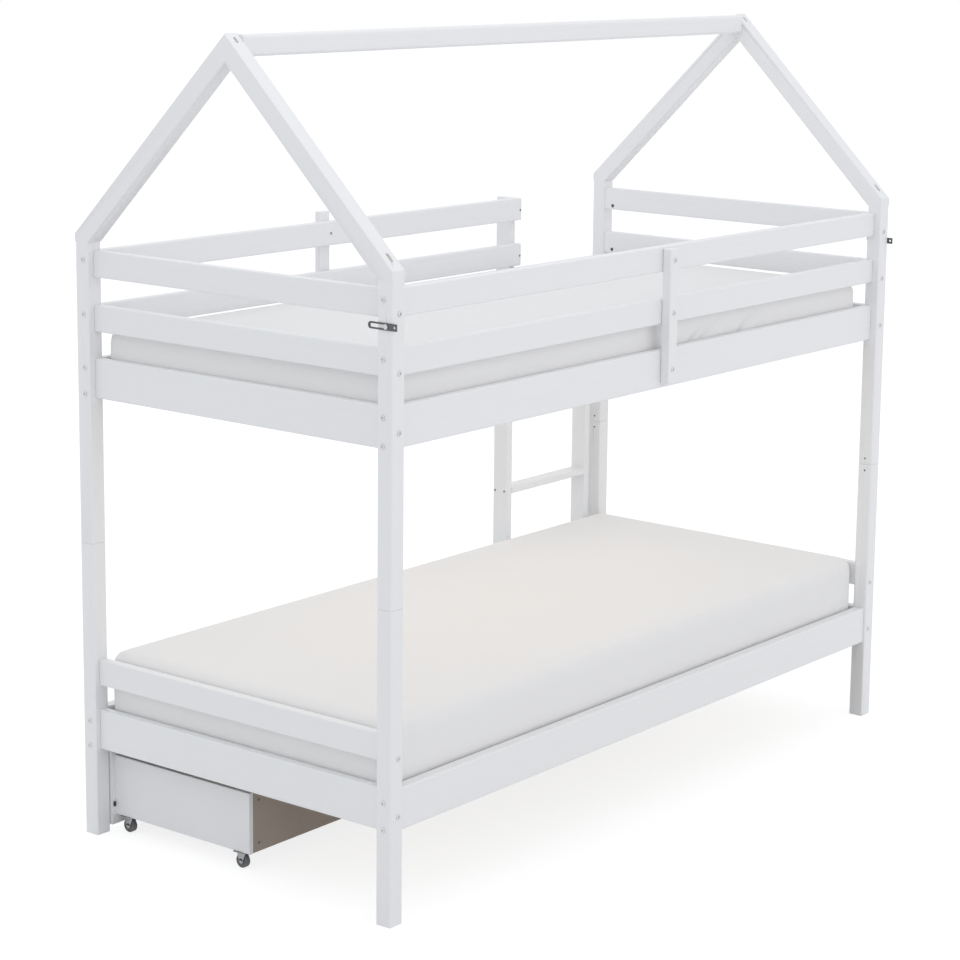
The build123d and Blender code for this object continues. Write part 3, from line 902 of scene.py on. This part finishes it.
# shallow folds in the front side of each sheet: start, end, width and depth
folds = {
    "upper": [
        ((0.145, -0.445, 1.163), (0.215, -0.445, 1.205), 0.010, 0.0065),
        ((0.190, -0.445, 1.163), (0.245, -0.445, 1.196), 0.009, 0.0055),
        ((0.235, -0.445, 1.172), (0.295, -0.445, 1.222), 0.010, 0.0040),
        ((0.370, -0.445, 1.163), (0.455, -0.445, 1.218), 0.011, 0.0075),
        ((0.425, -0.445, 1.185), (0.470, -0.445, 1.226), 0.010, 0.0035),
    ],
    "lower": [
        ((0.86, -0.447, 0.44), (0.87, -0.447, 0.34), 0.012, 0.0022),
        ((0.92, -0.447, 0.45), (0.915, -0.447, 0.34), 0.010, 0.0020),
        ((0.79, -0.447, 0.43), (0.80, -0.447, 0.35), 0.012, 0.0014),
        ((-0.93, -0.447, 0.45), (-0.92, -0.447, 0.34), 0.012, 0.0018),
    ],
}


def shifted(corner):
    return corner[0], corner[1] + shift


def mattressShell(level):
    low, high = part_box(level + "_mattress")
    plan = sheetPad[level]
    base, top = low.z + sheetPad["lift"], high.z + plan["rise"]
    pad = addBlock(level + "MattressSheet", (*shifted(plan["low"]), base), (*shifted(plan["high"]), top))
    near = sheetPad["near"]
    bevelEdges(pad, lambda a, b: abs(a.z - b.z) > 0.05, sheetPad["cornerRound"], 8)
    bevelEdges(pad, lambda a, b: min(a.z, b.z) > top - near, sheetPad["topRound"][level], 8)
    bevelEdges(pad, lambda a, b: max(a.z, b.z) < base + near, sheetPad["underRound"], 4)
    return pad


def inflate(pad):
    # lets the sheet swell under a little air, then holds each point near where it began
    addModifier(pad, "REMESH", mode="VOXEL", voxel_size=sheetPad["voxel"], use_smooth_shade=True)
    start = [v.co.copy() for v in pad.data.vertices]
    normals = [v.normal.copy() for v in pad.data.vertices]
    activate(pad)
    cloth = pad.modifiers.new("swell", "CLOTH")
    for key, value in swell.items():
        setattr(cloth.settings, key, value)
    cloth.settings.effector_weights.gravity = 0.0
    cloth.collision_settings.use_collision = False
    for step in range(1, sheetPad["frames"] + 1):
        bpy.context.scene.frame_set(step)
    bpy.ops.object.modifier_apply(modifier=cloth.name)
    bpy.context.scene.frame_set(1)
    base = min(first.z for first in start)
    for vertex, first, normal in zip(pad.data.vertices, start, normals):
        move = vertex.co - first
        move -= normal * min(0.0, move.dot(normal))
        if move.length > sheetPad["cap"]:
            move = move.normalized() * sheetPad["cap"]
        vertex.co = first + move
        vertex.co.z = max(vertex.co.z, base)


foldReach = {"side": 0.03, "widths": 2.5, "endShare": 0.1}


def pressFolds(pad, level):
    normals = [v.normal.copy() for v in pad.data.vertices]
    for start, end, width, depth in folds[level]:
        first = Vector(start) + Vector((0, shift, 0))
        along = Vector(end) - Vector(start)
        for vertex, normal in zip(pad.data.vertices, normals):
            if abs(vertex.co.y - first.y) > foldReach["side"]:
                continue
            share = max(0.0, min(1.0, (vertex.co - first).dot(along) / along.length_squared))
            gap = vertex.co - first - along * share
            gap.y = 0.0
            if gap.length < width * foldReach["widths"]:
                ends = foldReach["endShare"]
                ease = math.sin(math.pi * (ends + (1 - 2 * ends) * share))
                vertex.co -= normal * depth * ease * math.exp(-(gap.length / width) ** 2)


for level in ("upper", "lower"):
    pad = mattressShell(level)
    inflate(pad)
    addModifier(pad, "SUBSURF", levels=1, render_levels=1)
    pressFolds(pad, level)
    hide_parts(level + "_mattress")
    finishPiece(pad, sheetCotton, "bed", 60)
    print(level + " mattress ready")


# Stage, camera and light

floorSize = 60.0
bpy.ops.mesh.primitive_plane_add(size=floorSize, location=(0, 0, 0))
floor = bpy.context.object
floor.name = "studioFloor"

def plainShader(tree, kind, colour, strength=None):
    node = tree.nodes.new(kind)
    node.inputs["Color"].default_value = (*colour, 1.0)
    if strength is not None:
        node.inputs["Strength"].default_value = strength
    return node.outputs[0]


def splitByRay(tree, out, lit, seen):
    # one shader lights the object, the other is what the camera, a mirror or glass sees
    path = tree.nodes.new("ShaderNodeLightPath")
    ray = mathNode(tree, "MAXIMUM", path.outputs["Is Camera Ray"], path.outputs["Is Glossy Ray"])
    ray = mathNode(tree, "MAXIMUM", ray, path.outputs["Is Transmission Ray"])
    mix = tree.nodes.new("ShaderNodeMixShader")
    for i, source in enumerate((ray, lit, seen)):
        wire(tree, source, mix.inputs[i])
    wire(tree, mix.outputs[0], out.inputs["Surface"])


white = (1.0, 1.0, 1.0)
floorLook = {"lit": 0.8, "seen": 0.30, "glow": 0.80}
floorMaterial = bpy.data.materials.new("studioFloor")
floorMaterial.use_nodes = True
floorTree = floorMaterial.node_tree
floorTree.nodes.clear()
both = floorTree.nodes.new("ShaderNodeAddShader")
seenFloor = plainShader(floorTree, "ShaderNodeBsdfDiffuse", (floorLook["seen"],) * 3)
wire(floorTree, seenFloor, both.inputs[0])
wire(floorTree, plainShader(floorTree, "ShaderNodeEmission", white, floorLook["glow"]), both.inputs[1])
splitByRay(floorTree, floorTree.nodes.new("ShaderNodeOutputMaterial"),
           plainShader(floorTree, "ShaderNodeBsdfDiffuse", (floorLook["lit"],) * 3), both.outputs[0])
floor.data.materials.append(floorMaterial)

skyLook = {"colour": (0.95, 0.97, 1.0), "strength": 0.90}
world = bpy.data.worlds.new("studioWorld")
bpy.context.scene.world = world
world.use_nodes = True
worldTree = world.node_tree
worldTree.nodes.clear()
splitByRay(worldTree, worldTree.nodes.new("ShaderNodeOutputWorld"),
           plainShader(worldTree, "ShaderNodeBackground", skyLook["colour"], skyLook["strength"]),
           plainShader(worldTree, "ShaderNodeBackground", white, 1.0))

lampAim = Vector((0, 0, 0.9))
lamps = {
    "keyLight": {"place": (1.0, -6.5, 3.0), "size": 6.0, "power": 46.0, "colour": (1.0, 0.985, 0.96)},
    "fillLight": {"place": (-9.0, -2.0, 3.5), "size": 6.0, "power": 8.0, "colour": (0.93, 0.96, 1.0)},
    "backLight": {"place": (0.5, 6.5, 2.4), "size": 6.0, "power": 60.0, "colour": white},
    "topLight": {"place": (-1.2, -0.4, 3.7), "size": 2.5, "power": 7.0, "colour": white},
    "berthLight": {"place": (0.0, 0.0, 1.06), "size": 1.8, "width": 0.7, "power": 2.2, "colour": white},
}
for name, look in lamps.items():
    bpy.ops.object.light_add(type="AREA", location=look["place"])
    lamp = bpy.context.object
    lamp.name = name
    lamp.data.shape = "RECTANGLE"
    lamp.data.size = look["size"]
    lamp.data.size_y = look.get("width", look["size"])
    lamp.visible_camera = False
    lamp.data.energy = look["power"]
    lamp.data.color = look["colour"]
    aim = lampAim - Vector(look["place"])
    lamp.rotation_mode = "QUATERNION"
    lamp.rotation_quaternion = aim.to_track_quat("-Z", "Y")

frameWidth = 960
cameraLook = {
    "place": (-5.210971, -4.093098, 2.230683),
    "yaw": 36.728,
    "pitch": -10.657,
    "roll": 0.994,
    "focalPixels": 2615.884,
    "sensor": 36.0,
    "shiftX": -0.10,
    "shiftY": -0.08,
}
yaw, pitch, roll = (math.radians(cameraLook[k]) for k in ("yaw", "pitch", "roll"))
ahead = Vector((math.cos(yaw) * math.cos(pitch), math.sin(yaw) * math.cos(pitch), math.sin(pitch)))
sideways = Vector((math.sin(yaw), -math.cos(yaw), 0.0))
upward = sideways.cross(ahead)
right = sideways * math.cos(roll) + upward * math.sin(roll)
above = upward * math.cos(roll) - sideways * math.sin(roll)
turned = Matrix((right, above, -ahead)).transposed().to_4x4()
standing = Vector(cameraLook["place"]) + Vector((0, shift, 0))
bpy.ops.object.camera_add()
camera = bpy.context.object
camera.name = "photoCamera"
camera.matrix_world = Matrix.Translation(standing) @ turned
camera.data.sensor_width = cameraLook["sensor"]
camera.data.lens = cameraLook["focalPixels"] * cameraLook["sensor"] / frameWidth
camera.data.shift_x = cameraLook["shiftX"]
camera.data.shift_y = cameraLook["shiftY"]
camera.data.clip_end = 200.0
bpy.context.scene.camera = camera
bpy.context.scene.view_settings.view_transform = "Standard"
print("stage ready")
